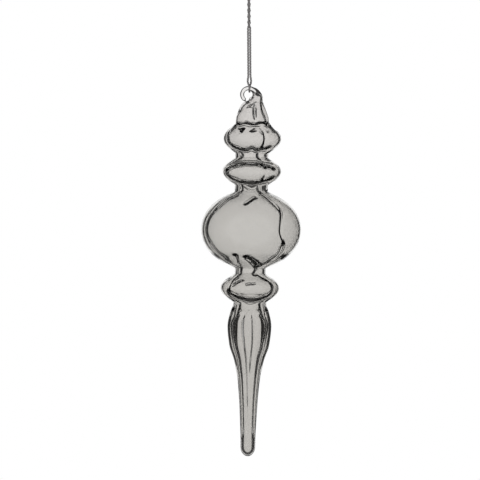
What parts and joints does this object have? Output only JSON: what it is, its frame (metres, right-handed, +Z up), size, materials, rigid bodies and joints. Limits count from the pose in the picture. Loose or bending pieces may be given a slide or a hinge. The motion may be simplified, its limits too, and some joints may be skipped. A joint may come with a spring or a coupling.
{
  "type": "icicle hanging ornament",
  "caption": "Blown glass icicle drop with lobed beads and ball, a glass hook eye and a twisted metallic hanging cord.",
  "frame": {"origin": "the seat of the hanging loop: the underside of its top, where a peg or twig carries it", "axes": "+Z up along the hanging cord; +X to the right when the eye of the hook is seen open from the front; -Y towards the viewer"},
  "size_m": [0.057, 0.057, 0.2971],
  "materials": {
    "cord": "metallised twisted yarn, silver grey",
    "smoke_glass": "clear smoke grey, fire polished"
  },
  "bodies": {
    "hanging_loop": {"hanging_loop": "cord"},
    "upper_cord": {"upper_leg_left": "cord", "upper_leg_right": "cord"},
    "middle_cord": {"middle_leg_left": "cord", "middle_leg_right": "cord"},
    "lower_cord": {"lower_leg_left": "cord", "lower_leg_right": "cord"},
    "bight": {"cord_bight": "cord"},
    "glass": {"glass_hanger": "smoke_glass", "glass_body": "smoke_glass"}
  },
  "joints": [
    {"name": "cord_side_bend", "type": "hinge", "parent": "hanging_loop", "child": "upper_cord", "pos_m": [0, 0, -0.0195], "axis": [0, 1, 0], "range_deg": [-60, 60]},
    {"name": "cord_front_bend", "type": "hinge", "parent": "upper_cord", "child": "middle_cord", "pos_m": [0, 0, -0.0314], "axis": [1, 0, 0], "range_deg": [-60, 60]},
    {"name": "cord_spin", "type": "hinge", "parent": "middle_cord", "child": "lower_cord", "pos_m": [0, 0, -0.0496], "axis": [0, 0, 1], "range_deg": [-170, 170]},
    {"name": "bight_rock", "type": "hinge", "parent": "lower_cord", "child": "bight", "pos_m": [0, 0, -0.0762], "axis": [1, 0, 0], "range_deg": [-50, 50]},
    {"name": "eye_slide", "type": "hinge", "parent": "bight", "child": "glass", "pos_m": [-0.00059, 0, -0.07983], "axis": [0, 1, 0], "range_deg": [-15, 50]}
  ]
}
